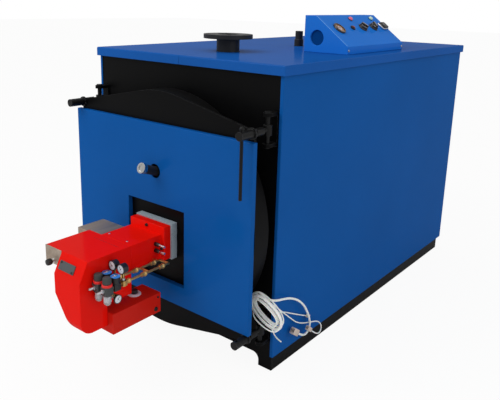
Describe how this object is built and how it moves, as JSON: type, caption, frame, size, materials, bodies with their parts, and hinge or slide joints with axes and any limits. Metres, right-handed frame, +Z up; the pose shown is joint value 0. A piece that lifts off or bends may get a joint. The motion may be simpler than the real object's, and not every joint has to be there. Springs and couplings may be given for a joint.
{
  "type": "industrial boiler",
  "caption": "Horizontal fire-tube hot-water boiler in a blue sheet casing with a round swing door, waste-oil burner, lid nozzles and a control console.",
  "frame": {"origin": "on the floor, under the middle of the part's box without its loose leads; x = 0 is the middle of the casing", "axes": "+Z up, +Y from the door and burner to the flue, +X to the side that the sloped console faces"},
  "size_m": [0.9905, 2.192, 1.22],
  "materials": {
    "blast_steel": "heat-tinted steel",
    "boiler_plate": "primed boiler plate",
    "bolt_black": "worn black paint",
    "burner_red": "gloss enamel",
    "button_black": "moulded",
    "cable_white": "soft PVC sheath",
    "cap_black": "moulded",
    "coil_blue": "moulded",
    "console_blue": "satin enamel",
    "dial_bezel": "dark bezel",
    "fire_steel": "heat-browned steel",
    "frame_black": "satin black heat paint",
    "galvanised": "galvanised",
    "gasket_grey": "pressed fibre board",
    "gauge_black": "black",
    "knob_black": "moulded",
    "lamp_lens": "lens",
    "lid_blue": "gloss enamel",
    "nozzle_black": "satin black paint",
    "panel_blue": "smooth semi-gloss enamel",
    "pipe_brass": "drawn tube",
    "plate_grey": "dark grey",
    "plug_black": "moulded",
    "plug_white": "moulded",
    "refractory": "cast refractory",
    "regulator_grey": "moulded",
    "sight_chrome": "polished",
    "sight_steel": "black",
    "switch_black": "moulded",
    "tank_red": "gloss enamel"
  },
  "bodies": {
    "casing": {"back_panel": "panel_blue", "base_rail_left": "frame_black", "base_rail_right": "frame_black", "bolt_lugs": "frame_black", "bolt_pins": "bolt_black", "cable_coil": "cable_white", "cable_gland": "plug_black", "cable_lead_high": "cable_white", "cable_lead_low": "cable_white", "cable_lead_middle": "cable_white", "cable_tail": "cable_white", "console_housing": "console_blue", "drain_nipple": "nozzle_black", "eye_bolts_right": "bolt_black", "flow_nozzle": "nozzle_black", "front_plate": "frame_black", "front_tube_plate": "boiler_plate", "furnace_tube": "fire_steel", "lead_plugs": "plug_white", "main_switch": "switch_black", "rear_tube_plate": "boiler_plate", "reset_button": "button_black", "return_nozzle": "nozzle_black", "safety_nipple": "nozzle_black", "side_panel_left": "panel_blue", "side_panel_right": "panel_blue", "signal_lamps": "lamp_lens", "smoke_box": "boiler_plate", "smoke_tubes": "fire_steel", "thermometer": "dial_bezel", "thermostat_knobs": "knob_black", "top_panel_left": "lid_blue", "top_panel_right": "lid_blue", "vessel_saddles": "frame_black", "vessel_shell": "boiler_plate", "vessel_shell_sides": "boiler_plate"},
    "door": {"door_plate": "frame_black", "door_lining": "refractory", "door_skin": "panel_blue", "sight_pipe": "sight_steel", "sight_ring": "sight_chrome", "eye_bolts_left": "bolt_black", "sleeve_nuts": "bolt_black", "tommy_bar": "bolt_black", "burner_gasket": "gasket_grey", "burner_flange": "burner_red", "blast_tube": "blast_steel", "burner_duct": "burner_red", "burner_housing": "burner_red", "hood_plate": "plate_grey", "drive_plate": "galvanised", "ignition_box": "galvanised", "oil_tank": "tank_red", "tank_cap": "cap_black", "oil_regulators": "regulator_grey", "solenoid_valves": "coil_blue", "burner_gauges": "gauge_black", "oil_pipes": "pipe_brass", "burner_plugs": "plug_black", "damper_knob": "plug_black"}
  },
  "joints": [
    {"name": "door_hinge", "type": "hinge", "parent": "casing", "child": "door", "pos_m": [-0.418, -0.608, 0.522], "axis": [0, 0, -1], "range_deg": [0, 100]}
  ]
}
